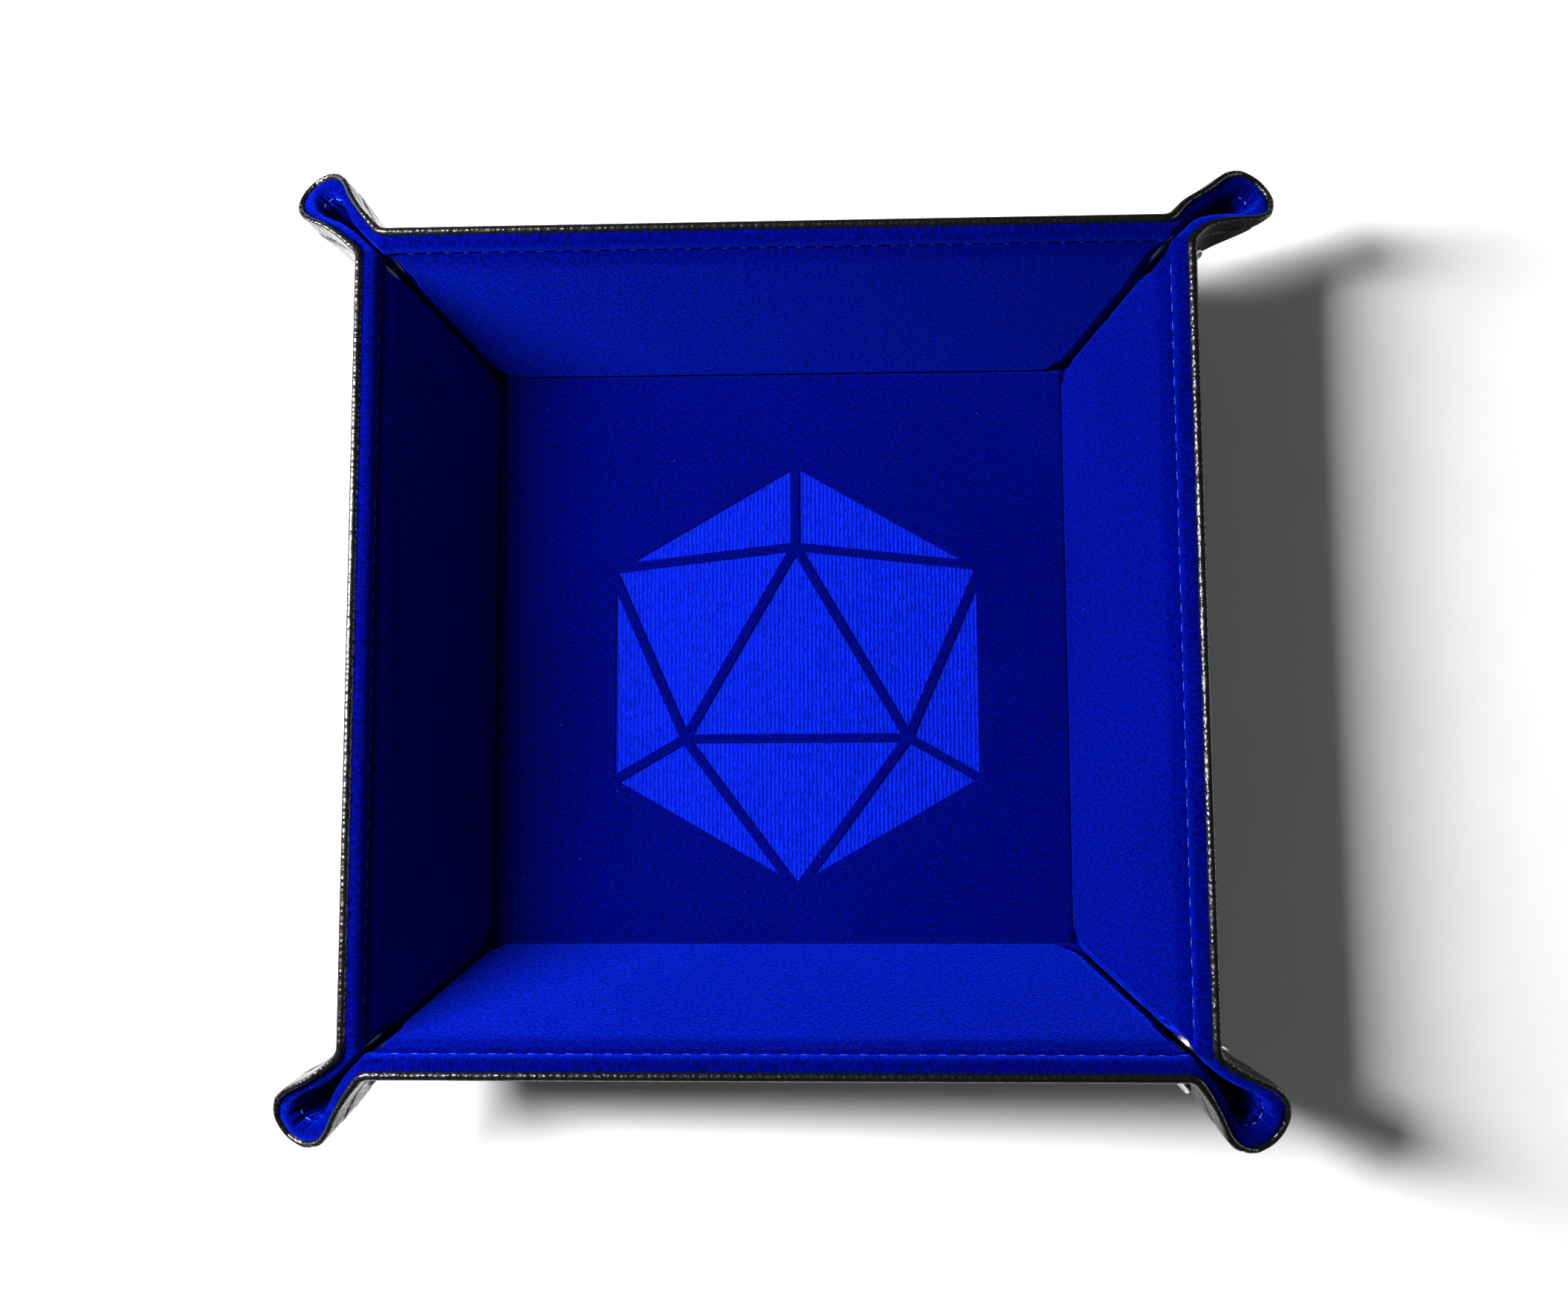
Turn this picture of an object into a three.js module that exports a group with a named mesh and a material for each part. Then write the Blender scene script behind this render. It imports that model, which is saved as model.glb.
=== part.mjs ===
// A folding dice tray: one square sheet of leather, boards and velvet that lies
// flat, and stands up as a tray when a snap pinches each corner into an ear.
//
// Every piece is laid out in the flat sheet and then folded. Flat coordinates:
// x and y lie in the sheet with the origin at its centre, and z goes from the
// leather's outer face (0) into the tray. Each wall is drawn on the +X side and
// turned into place about Z. A wing is the half of a corner beside one wall, and
// its curl is the rounded end where it meets the other wing on the diagonal.

import * as THREE from 'three';

// ---------------------------------------------------------------- dimensions (mm)

const SHEET_SIDE = 250;          // the whole sheet, lying flat
const SHEET_CORNER_RADIUS = 24;
const FLOOR_SIDE = 150;          // between the sharp creases of opposite walls
const WALL_LEAN = THREE.MathUtils.degToRad(25);   // from the vertical
const NECK_HALF_WIDTH = 4.4;     // from the corner's diagonal plane to the leather

const LEATHER = 1.0;
const BOARD = 1.6;
const LINING = 1.0;
const WING_LINING = 1.1;
const GLUE_GAP = 0.3;            // between one layer and the next

const FLOOR_BEND_RADIUS = 3.5;   // of the leather's outer face
const WING_BEND_RADIUS = 3.0;
const EDGE_GAP = 0.25;           // from a rigid panel to the middle of its crease

const BOARD_TO_RIM = 6.5;        // leaves a soft band for the stitching
const BOARD_TO_CREASE = 4.5;     // beside a wing
const BOARD_TO_FOLD = 1.5;       // beside the fold between floor and wall
const LINING_TO_RIM = 1.0;
const LINING_TO_CREASE = 2.0;
const LINING_TO_FOLD = 1.0;
const PANEL_CORNER_RADIUS = 3;
const LEATHER_CORNER_RADIUS = 0.5;
const HINGE_END_GAP = 1.0;       // from the end of a hinge to the wing's crease

const WING_ROOT_WIDTH = 1.2;     // of the wing's narrow end, near the floor corner
const CURL_START = 7;            // from the floor corner, along the diagonal
const CURL_GAP_ANGLE = THREE.MathUtils.degToRad(9);   // leaves the two curls clear as they turn

const SNAP_ALONG_CREASE = 41;
const SNAP_FROM_CREASE = 7.6;
const CAP_RADIUS = 6;
const CAP_HEIGHT = 1.5;
const CAP_GAP = 0.2;
const POST_RADIUS = 1.5;
const POST_HOLE_RADIUS = 1.9;
const RING_RADIUS = 4.6;         // of the socket and of the stud's flange
const FLANGE_HEIGHT = 0.8;
const STUD_REACH = 1.2;          // how far the stud goes past the diagonal plane
const STUD_NOSE_RADIUS = 1.9;
const STUD_POST_END = 0.6;       // how far a post is riveted over inside the stud
const SOCKET_BORE_RADIUS = 2.4;
const SOCKET_MOUTH_GAP = 0.25;   // from the diagonal plane
const SOCKET_POST_END = 0.2;
const SNAP_WALL = 0.4;           // of the pressed metal, and its rounding

const ROUND_SEGMENTS = 16;
const ARC_SEGMENTS = 6;

// ---------------------------------------------------------------- worked-out sizes

const RIGHT_ANGLE = Math.PI / 2;
const FLOOR_FOLD = RIGHT_ANGLE - WALL_LEAN;
const WING_FOLD = Math.acos(Math.sin(FLOOR_FOLD) * Math.SQRT1_2);
const CURL_FOLD = RIGHT_ANGLE;
const CURL_RADIUS = NECK_HALF_WIDTH;

const floorBend = bend(FLOOR_BEND_RADIUS, FLOOR_FOLD);
const wingBend = bend(WING_BEND_RADIUS, WING_FOLD);
const curlBend = bend(CURL_RADIUS, CURL_FOLD);

const HALF_FLOOR = FLOOR_SIDE / 2;
const RIM = SHEET_SIDE / 2;
const FLOOR_EDGE = HALF_FLOOR - floorBend.tangent;   // where the floor stops being flat
const WALL_FOOT = FLOOR_EDGE + floorBend.length;     // where the wall starts being flat
const CREASE_ANGLE = Math.atan(Math.sin(WALL_LEAN)); // of a wing's crease in the flat sheet
const WING_ANGLE = Math.PI / 4 - CREASE_ANGLE;       // from its crease to the diagonal

const BOARD_BOTTOM = LEATHER + GLUE_GAP;
const LINING_BOTTOM = BOARD_BOTTOM + BOARD + GLUE_GAP;
const WING_LINING_BOTTOM = LEATHER + GLUE_GAP;
const WING_TOP = WING_LINING_BOTTOM + WING_LINING;

// A sheet bent through an angle at a radius keeps its length: it leaves one
// plane, runs round the arc and joins the other. Turning the far plane about the
// pivot by the same angle lays it exactly flat. The pivot is measured from the
// start of the arc, along the sheet and towards the inside of the bend.
function bend(radius, angle) {
  const length = radius * angle;
  const tangent = radius * Math.tan(angle / 2);
  const rise = 1 - Math.cos(angle);
  const slack = Math.sin(angle) * (angle - Math.sin(angle)) / rise;
  return { radius, angle, length, tangent, along: length / 2, inward: radius / 2 * (rise - slack) };
}

// ---------------------------------------------------------------- materials

const colours = {
  leather: { color: 0x17171a, roughness: 0.55, metalness: 0 },
  board: { color: 0x8d8578, roughness: 0.9, metalness: 0 },
  velvet: { color: 0x0a2fb4, roughness: 1, metalness: 0 },
  nickel: { color: 0xb9bbc0, roughness: 0.25, metalness: 1 },
};

function makeMesh(name, geometry, colour) {
  const mesh = new THREE.Mesh(geometry, new THREE.MeshStandardMaterial(colours[colour]));
  mesh.name = name;
  return mesh;
}

// ---------------------------------------------------------------- shapes

function roundedOutline(points, radius) {
  const shape = new THREE.Shape();
  points.forEach((corner, i) => {
    const before = points[(i + points.length - 1) % points.length];
    const after = points[(i + 1) % points.length];
    const start = corner.clone().add(before.clone().sub(corner).setLength(radius));
    const end = corner.clone().add(after.clone().sub(corner).setLength(radius));
    if (i === 0) shape.moveTo(start.x, start.y);
    else shape.lineTo(start.x, start.y);
    shape.quadraticCurveTo(corner.x, corner.y, end.x, end.y);
  });
  shape.closePath();
  return shape;
}

function plate(shape, bottom, thickness) {
  const settings = { depth: thickness, bevelEnabled: false, curveSegments: ARC_SEGMENTS };
  const geometry = new THREE.ExtrudeGeometry(shape, settings);
  geometry.translate(0, 0, bottom);
  return geometry;
}

// The cross-section of a bent layer, from the start of the arc at the origin.
function bentSection(radius, thickness, fromAngle, toAngle) {
  const shape = new THREE.Shape();
  const start = fromAngle - RIGHT_ANGLE;
  const end = toAngle - RIGHT_ANGLE;
  shape.absarc(0, radius, radius, start, end, false);
  shape.absarc(0, radius, radius - thickness, end, start, true);
  shape.closePath();
  return shape;
}

// ---------------------------------------------------------------- flat layout of a wall

// The middle of the crease between a wall and its wing, at flat distance x.
function creaseY(x) {
  const slant = x - HALF_FLOOR + 2 * floorBend.tangent - floorBend.length;
  const shift = (wingBend.tangent - wingBend.length / 2) / Math.cos(CREASE_ANGLE);
  return HALF_FLOOR + slant * Math.sin(WALL_LEAN) - Math.SQRT2 * NECK_HALF_WIDTH - shift;
}

function wallOutline(fromFoot, fromRim, fromCrease, cornerRadius) {
  const low = WALL_FOOT + fromFoot;
  const high = RIM - fromRim;
  const inset = fromCrease / Math.cos(CREASE_ANGLE);
  const points = [
    new THREE.Vector2(low, -creaseY(low) + inset),
    new THREE.Vector2(high, -creaseY(high) + inset),
    new THREE.Vector2(high, creaseY(high) - inset),
    new THREE.Vector2(low, creaseY(low) - inset),
  ];
  return roundedOutline(points, cornerRadius);
}

// The wing on the +Y side of the wall, between its crease and the line where
// the curl starts, with the sheet's rounded corner and a hole for the snap's post.
function wingOutline(inset, side) {
  const along = new THREE.Vector2(Math.cos(CREASE_ANGLE), Math.sin(CREASE_ANGLE));
  const across = new THREE.Vector2(-along.y, along.x);
  const creaseFoot = new THREE.Vector2(HALF_FLOOR, creaseY(HALF_FLOOR));
  const rootWidth = curlBend.length + 2 * inset + WING_ROOT_WIDTH;
  const start = (rootWidth - NECK_HALF_WIDTH) / Math.sin(WING_ANGLE);
  const root = creaseFoot.clone().addScaledVector(along, start).addScaledVector(across, inset);
  const rim = RIM - (inset - EDGE_GAP);
  const rimStart = new THREE.Vector2(rim, root.y + (rim - root.x) * Math.tan(CREASE_ANGLE));
  const centre = RIM - SHEET_CORNER_RADIUS;
  const radius = rim - centre;
  const curlOffset = (curlBend.length + inset) * Math.SQRT2;
  const curlAngle = Math.PI / 4 - Math.asin((curlBend.length + inset) / radius);
  const back = (root.x * along.x + root.y * along.y) + curlOffset * along.y;
  const curlRoot = back / (along.x + along.y);

  const shape = new THREE.Shape();
  shape.moveTo(root.x, side * root.y);
  shape.lineTo(rimStart.x, side * rimStart.y);
  shape.absarc(centre, side * centre, radius, 0, side * curlAngle, side < 0);
  shape.lineTo(curlRoot, side * (curlRoot - curlOffset));
  shape.closePath();

  const hole = new THREE.Path();
  const place = snapPlace(side);
  hole.absarc(place.x, place.y, POST_HOLE_RADIUS, 0, 2 * Math.PI, side > 0);
  shape.holes.push(hole);
  return shape;
}

function snapPlace(side) {
  const along = new THREE.Vector2(Math.cos(CREASE_ANGLE), Math.sin(CREASE_ANGLE));
  const across = new THREE.Vector2(-along.y, along.x);
  const place = new THREE.Vector2(HALF_FLOOR, creaseY(HALF_FLOOR));
  place.addScaledVector(along, SNAP_ALONG_CREASE).addScaledVector(across, SNAP_FROM_CREASE);
  return new THREE.Vector3(place.x, side * place.y, 0);
}

// ---------------------------------------------------------------- folding

// A group whose contents are turned about an axis through a point of the sheet.
function folded(point, axis, angle) {
  const group = new THREE.Group();
  group.quaternion.setFromAxisAngle(axis, angle);
  group.position.copy(point).sub(point.clone().applyQuaternion(group.quaternion));
  return group;
}

function foldedWall() {
  const pivot = new THREE.Vector3(FLOOR_EDGE + floorBend.along, 0, floorBend.inward);
  return folded(pivot, new THREE.Vector3(0, -1, 0), FLOOR_FOLD);
}

function foldedWing(side) {
  const axis = new THREE.Vector3(Math.cos(CREASE_ANGLE), side * Math.sin(CREASE_ANGLE), 0);
  const pivot = new THREE.Vector3(HALF_FLOOR, side * creaseY(HALF_FLOOR), -wingBend.inward);
  return folded(pivot, axis, -side * WING_FOLD);
}

// ---------------------------------------------------------------- floor

function makeFloor() {
  const floor = new THREE.Group();
  const square = (halfSide, radius) => roundedOutline([
    new THREE.Vector2(-halfSide, -halfSide),
    new THREE.Vector2(halfSide, -halfSide),
    new THREE.Vector2(halfSide, halfSide),
    new THREE.Vector2(-halfSide, halfSide),
  ], radius);
  const leather = square(FLOOR_EDGE - EDGE_GAP, PANEL_CORNER_RADIUS);
  const board = square(FLOOR_EDGE - BOARD_TO_FOLD, PANEL_CORNER_RADIUS);
  const lining = square(FLOOR_EDGE - LINING_TO_FOLD, PANEL_CORNER_RADIUS);
  floor.add(makeMesh('base_leather', plate(leather, 0, LEATHER), 'leather'));
  floor.add(makeMesh('base_board', plate(board, BOARD_BOTTOM, BOARD), 'board'));
  floor.add(makeMesh('base_lining', plate(lining, LINING_BOTTOM, LINING), 'velvet'));
  return floor;
}

// The strip of leather that bends between the floor and a wall.
function makeHinge(name) {
  const gapAngle = EDGE_GAP / FLOOR_BEND_RADIUS;
  const section = bentSection(FLOOR_BEND_RADIUS, LEATHER, gapAngle, FLOOR_FOLD - gapAngle);
  const length = 2 * (creaseY(HALF_FLOOR) - HINGE_END_GAP);
  const geometry = plate(section, -length / 2, length);
  geometry.rotateX(RIGHT_ANGLE);
  geometry.translate(FLOOR_EDGE, 0, 0);
  return makeMesh(name, geometry, 'leather');
}

// ---------------------------------------------------------------- wall

function makeWallPanels(name) {
  const leather = wallOutline(EDGE_GAP, 0, EDGE_GAP, LEATHER_CORNER_RADIUS);
  const board = wallOutline(BOARD_TO_FOLD, BOARD_TO_RIM, BOARD_TO_CREASE, PANEL_CORNER_RADIUS);
  const lining = wallOutline(LINING_TO_FOLD, LINING_TO_RIM, LINING_TO_CREASE, PANEL_CORNER_RADIUS);
  return [
    makeMesh(`${name}_leather`, plate(leather, 0, LEATHER), 'leather'),
    makeMesh(`${name}_board`, plate(board, BOARD_BOTTOM, BOARD), 'board'),
    makeMesh(`${name}_lining`, plate(lining, LINING_BOTTOM, LINING), 'velvet'),
  ];
}

// ---------------------------------------------------------------- wing and its curl

function makeWingPanels(name, side) {
  const leather = wingOutline(EDGE_GAP, side);
  const lining = wingOutline(EDGE_GAP + LINING_TO_RIM, side);
  return [
    makeMesh(`${name}_wing_leather`, plate(leather, 0, LEATHER), 'leather'),
    makeMesh(`${name}_wing_lining`, plate(lining, WING_LINING_BOTTOM, WING_LINING), 'velvet'),
  ];
}

function makeCurl(name, side) {
  const gapAngle = EDGE_GAP / CURL_RADIUS;
  const section = bentSection(CURL_RADIUS, WING_TOP, gapAngle, CURL_FOLD - CURL_GAP_ANGLE);
  const cornerCentre = Math.SQRT2 * (RIM - SHEET_CORNER_RADIUS);
  const start = Math.SQRT2 * HALF_FLOOR + CURL_START;
  const end = cornerCentre + Math.sqrt(SHEET_CORNER_RADIUS ** 2 - curlBend.length ** 2);
  const geometry = plate(section, (start - end) / 2, end - start);
  const ridge = new THREE.Vector3(1, side, 0).normalize();
  const across = new THREE.Vector3(-1, side, 0).normalize();
  const up = new THREE.Vector3(0, 0, 1);
  const place = new THREE.Matrix4().makeBasis(across, up, across.clone().cross(up));
  place.setPosition(ridge.multiplyScalar((start + end) / 2).addScaledVector(across, -curlBend.length));
  geometry.applyMatrix4(place);
  return makeMesh(`${name}_curl`, geometry, 'leather');
}

// ---------------------------------------------------------------- snap

function lathe(profile) {
  const points = profile.map(([radius, height]) => new THREE.Vector2(radius, height));
  const geometry = new THREE.LatheGeometry(points, ROUND_SEGMENTS);
  geometry.rotateX(RIGHT_ANGLE);
  return geometry;
}

// A domed cap on the leather with the post that goes through both layers.
function capProfile(postTop) {
  const under = -CAP_GAP;
  const crown = under - CAP_HEIGHT;
  return [
    [0, crown],
    [CAP_RADIUS * 0.55, crown + CAP_HEIGHT * 0.07],
    [CAP_RADIUS * 0.88, crown + CAP_HEIGHT * 0.3],
    [CAP_RADIUS, crown + CAP_HEIGHT * 0.67],
    [CAP_RADIUS * 0.97, under],
    [POST_RADIUS, under],
    [POST_RADIUS, postTop],
    [0, postTop],
  ];
}

function studProfile() {
  const base = WING_TOP + GLUE_GAP;
  const nose = NECK_HALF_WIDTH + STUD_REACH;
  const bore = POST_RADIUS + GLUE_GAP;
  return [
    [0, nose - SNAP_WALL],
    [STUD_NOSE_RADIUS - 2 * SNAP_WALL, nose - 1.5 * SNAP_WALL],
    [bore - SNAP_WALL / 2, nose - 3 * SNAP_WALL],
    [bore, base + FLANGE_HEIGHT],
    [bore, base],
    [RING_RADIUS, base],
    [RING_RADIUS, base + FLANGE_HEIGHT],
    [bore + 2 * SNAP_WALL, base + FLANGE_HEIGHT + SNAP_WALL / 2],
    [STUD_NOSE_RADIUS + SNAP_WALL / 4, nose - 2 * SNAP_WALL],
    [STUD_NOSE_RADIUS - SNAP_WALL, nose],
    [0, nose],
  ];
}

function socketProfile() {
  const base = WING_TOP + GLUE_GAP;
  const mouth = NECK_HALF_WIDTH - SOCKET_MOUTH_GAP;
  const bore = POST_RADIUS + GLUE_GAP;
  return [
    [bore, base],
    [RING_RADIUS, base],
    [RING_RADIUS, mouth - SNAP_WALL],
    [RING_RADIUS - SNAP_WALL, mouth],
    [SOCKET_BORE_RADIUS + SNAP_WALL, mouth],
    [SOCKET_BORE_RADIUS, mouth - SNAP_WALL],
    [SOCKET_BORE_RADIUS, base + SNAP_WALL],
    [bore, base + SNAP_WALL],
    [bore, base],
  ];
}

function makeSnapHalf(corner, kind, side) {
  const isStud = kind === 'stud';
  const postTop = WING_TOP + GLUE_GAP + (isStud ? STUD_POST_END : SOCKET_POST_END);
  const cap = makeMesh(`${corner}_${kind}_cap`, lathe(capProfile(postTop)), 'nickel');
  const inner = makeMesh(`${corner}_${kind}`, lathe(isStud ? studProfile() : socketProfile()), 'nickel');
  [cap, inner].forEach((piece) => piece.position.copy(snapPlace(side)));
  return [cap, inner];
}

// ---------------------------------------------------------------- assembly

// Going round from +X: each wall, and the corner that follows it.
const walls = ['right', 'back', 'left', 'front'];
const corners = ['back_right', 'back_left', 'front_left', 'front_right'];

const tray = new THREE.Group();
tray.add(makeFloor());

walls.forEach((wallName, turn) => {
  const quarter = new THREE.Group();
  quarter.rotation.z = turn * RIGHT_ANGLE;
  quarter.add(makeHinge(`${wallName}_hinge_leather`));

  const wall = foldedWall();
  wall.add(...makeWallPanels(`${wallName}_wall`));
  quarter.add(wall);

  const ends = [
    { corner: corners[turn], side: 1, kind: 'stud' },
    { corner: corners[(turn + 3) % 4], side: -1, kind: 'socket' },
  ];
  ends.forEach(({ corner, side, kind }) => {
    const wing = foldedWing(side);
    const name = `${corner}_${kind}`;
    wing.add(...makeWingPanels(name, side), makeCurl(name, side), ...makeSnapHalf(corner, kind, side));
    wall.add(wing);
  });

  tray.add(quarter);
});

export default tray;
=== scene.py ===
"""A folding dice tray: black pebbled leather outside, royal-blue velvet inside, four corners pinched by snaps.

The tray is one flat sheet that is folded up. Every soft piece is laid out on that flat sheet, in millimetres,
and then folded to where the CAD panels stand. In the flat sheet
x points from the centre to a wall's rim, y runs along the wall, and height goes from the leather's outer face
into the tray. Each wall is made on the +X side and turned into place about Z.
"""
import math

import bmesh
import bpy
import numpy as np
from mathutils import Matrix, Vector


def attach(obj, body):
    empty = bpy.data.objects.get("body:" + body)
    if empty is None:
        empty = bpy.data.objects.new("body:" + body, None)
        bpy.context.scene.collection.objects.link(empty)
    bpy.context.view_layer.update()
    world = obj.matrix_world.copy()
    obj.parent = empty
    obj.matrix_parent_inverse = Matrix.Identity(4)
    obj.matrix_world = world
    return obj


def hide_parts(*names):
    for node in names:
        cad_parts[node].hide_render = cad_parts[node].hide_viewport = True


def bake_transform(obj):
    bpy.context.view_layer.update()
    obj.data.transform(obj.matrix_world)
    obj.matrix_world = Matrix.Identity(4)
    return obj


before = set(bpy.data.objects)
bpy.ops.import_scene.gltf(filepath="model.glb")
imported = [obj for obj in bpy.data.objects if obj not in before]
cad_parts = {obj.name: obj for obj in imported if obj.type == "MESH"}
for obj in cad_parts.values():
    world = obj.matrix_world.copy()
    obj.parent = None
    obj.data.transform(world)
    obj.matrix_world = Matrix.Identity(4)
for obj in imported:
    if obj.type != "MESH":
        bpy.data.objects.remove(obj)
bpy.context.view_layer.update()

MM = 0.001

# ---------------------------------------------------------------- the folded sheet, as in the CAD (mm)

RIM = 125.0                      # half of the flat sheet's side
CORNER_RADIUS = 24.0             # of the flat sheet
HALF_FLOOR = 75.0                # to the sharp crease at the foot of a wall
WALL_LEAN = math.radians(25)
NECK = 4.4                       # half the width of a corner's neck
FLOOR_BEND_RADIUS = 3.5
WING_BEND_RADIUS = 3.0

FLOOR_FOLD = math.pi / 2 - WALL_LEAN
WING_FOLD = math.acos(math.sin(FLOOR_FOLD) * math.sqrt(0.5))
WING_BEND_LENGTH = WING_BEND_RADIUS * WING_FOLD
FLOOR_EDGE = HALF_FLOOR - FLOOR_BEND_RADIUS * math.tan(FLOOR_FOLD / 2)
WALL_FOOT = FLOOR_EDGE + FLOOR_BEND_RADIUS * FLOOR_FOLD
CREASE_ANGLE = math.atan(math.sin(WALL_LEAN))

ALONG_CREASE = np.array([math.cos(CREASE_ANGLE), math.sin(CREASE_ANGLE), 0])
ACROSS_CREASE = np.array([-math.sin(CREASE_ANGLE), math.cos(CREASE_ANGLE), 0])
TO_RIDGE = np.array([-1, 1, 0]) * math.sqrt(0.5)
ALONG_RIDGE = np.array([1, 1, 0]) * math.sqrt(0.5)
X_AXIS = np.array([1.0, 0, 0])
UP = np.array([0, 0, 1.0])

FLOOR_CORNER = HALF_FLOOR * math.sqrt(2)
NECK_PLACE = 136.0               # of a neck at the rim, along the diagonal from the centre, folded
LOOP_OPENS = (FLOOR_CORNER + 28, FLOOR_CORNER + 57)   # from closed to open, along the diagonal

WALLS = ("right", "back", "left", "front")
CORNERS = ("back_right", "back_left", "front_left", "front_right")

# ---------------------------------------------------------------- the soft parts' own sizes (mm)

LEATHER = 1.0
EDGE_ROLL = 1.05                 # radius of the leather turned over at the sheet's edge
EAR_EDGE_ROLL = 0.7
VELVET_START = 1.1               # from the sheet's edge
PANEL_HEIGHT = 4.3               # velvet over a board
BAND_HEIGHT = 3.9                # velvet in the band outside the stitches
CREASE_HEIGHT = 2.5              # velvet with no board under it
LIP_HEIGHT = 3.85                # velvet beside a wing's crease, where it meets the next wall's
PANEL_TO_CREASE = 0.45           # from the crease of a wing to the padded edge
PANEL_TO_FOOT = 0.5
VELVET = 1.2
STITCH_INSET = 5.0
STITCH_COUNT = 27                # from the middle of a wall to the tip of an ear
STITCH_LENGTH = 3.0
SHOULDER_RADIUS = 1.6            # of the velvet where a wall turns into its wing
LOOP_RADIUS = (7.2, 6.9, 7.4, 7.9)   # of each ear's open end at the rim, in the order of CORNERS
LOOP_FLARE = math.radians(25)    # how steeply an ear opens from its neck
LEANING_CORNER = 0               # the ear that leans to one side
LEAN = 5.0                       # at its end
LEAN_STARTS = (NECK_PLACE - 1, NECK_PLACE + 14)       # from none to all of it, along the diagonal
LEAN_RISES = (8, 36)             # and with height

SNAP_ALONG_CREASE = 41.0
SNAP_FROM_CREASE = 7.6
SNAP_OPENING = 44.3              # middle of the gap that it is seen through from inside, along the crease


# ---------------------------------------------------------------- folding

def crease_y(x):
    """The middle of the crease between a wall and its wing, at flat distance x."""
    tangent = FLOOR_BEND_RADIUS * math.tan(FLOOR_FOLD / 2)
    slant = x - HALF_FLOOR + 2 * tangent - FLOOR_BEND_RADIUS * FLOOR_FOLD
    shift = (WING_BEND_RADIUS * math.tan(WING_FOLD / 2) - WING_BEND_LENGTH / 2) / math.cos(CREASE_ANGLE)
    return HALF_FLOOR + slant * math.sin(WALL_LEAN) - math.sqrt(2) * NECK - shift


CREASE_FOOT = np.array([HALF_FLOOR, crease_y(HALF_FLOOR), 0])


def bend(points, start, across, up, radius, angle, tightest=None):
    """Bends everything past a line through start, towards up, round a cylinder of that radius.
    A layer whose own radius would be larger than tightest turns at that radius instead."""
    rel = points - start
    run, rise = rel @ across, rel @ up
    own = radius - rise
    arc = own if tightest is None else np.minimum(own, tightest)
    straight = (own - arc) * math.tan(angle / 2)
    path = np.clip(run / (radius * angle), 0, 1) * (2 * straight + arc * angle)
    turn = np.clip((path - straight) / arc, 0, angle)
    after = np.maximum(path - straight - arc * angle, 0) + np.maximum(run - radius * angle, 0)
    new_run = np.minimum(run, 0) + np.minimum(path, straight) + arc * np.sin(turn) + after * math.cos(angle)
    new_rise = rise + arc * (1 - np.cos(turn)) + after * math.sin(angle)
    return points + np.outer(new_run - run, across) + np.outer(new_rise - rise, up)


def close_ear(points, loop_radius):
    """Turns the end of a wing in to the diagonal plane. Near the floor it is a plain quarter turn,
    and towards the rim it first flares out, so that the ear ends in an open loop."""
    height = points[:, 2]
    from_ridge = -(points @ TO_RIDGE)
    openness = smooth(*LOOP_OPENS, points @ ALONG_RIDGE)
    radius = NECK + (loop_radius - NECK) * openness
    flare = np.maximum(LOOP_FLARE * openness, 0.01)
    swell = np.maximum(radius * np.cos(flare) - NECK, 0)
    flare_run = 2 * swell / np.tan(flare)
    flare_length = flare_run * (1 + np.tan(flare) ** 2 / 6)
    arc_length = radius * (math.pi / 2 + flare)
    neck_end = -(arc_length + flare_length)
    centre = neck_end + flare_run + radius * np.sin(flare)

    share = np.clip((from_ridge + neck_end) / -np.maximum(flare_length, 1e-6), 0, 1)
    slope = np.tan(flare) * share
    normal = np.sqrt(1 + slope ** 2)
    flare_place = neck_end + flare_run * share + height * slope / normal
    flare_height = -swell * share ** 2 + height / normal

    angle = from_ridge / radius
    arc_place = centre + (radius - height) * np.cos(angle)
    arc_height = NECK - (radius - height) * np.sin(angle)

    in_arc, in_flare = from_ridge < arc_length, from_ridge < -neck_end
    place = np.where(in_arc, arc_place, np.where(in_flare, flare_place, -from_ridge))
    new_height = np.where(in_arc, arc_height, np.where(in_flare, flare_height, height))
    return points + np.outer(place + from_ridge, TO_RIDGE) + np.outer(new_height - height, UP)


def lean_of(p):
    """How far a place in an ear that leans is pushed across the diagonal plane."""
    return LEAN * smooth(*LEAN_STARTS, p @ ALONG_RIDGE) * smooth(*LEAN_RISES, p[:, 2])


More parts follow.
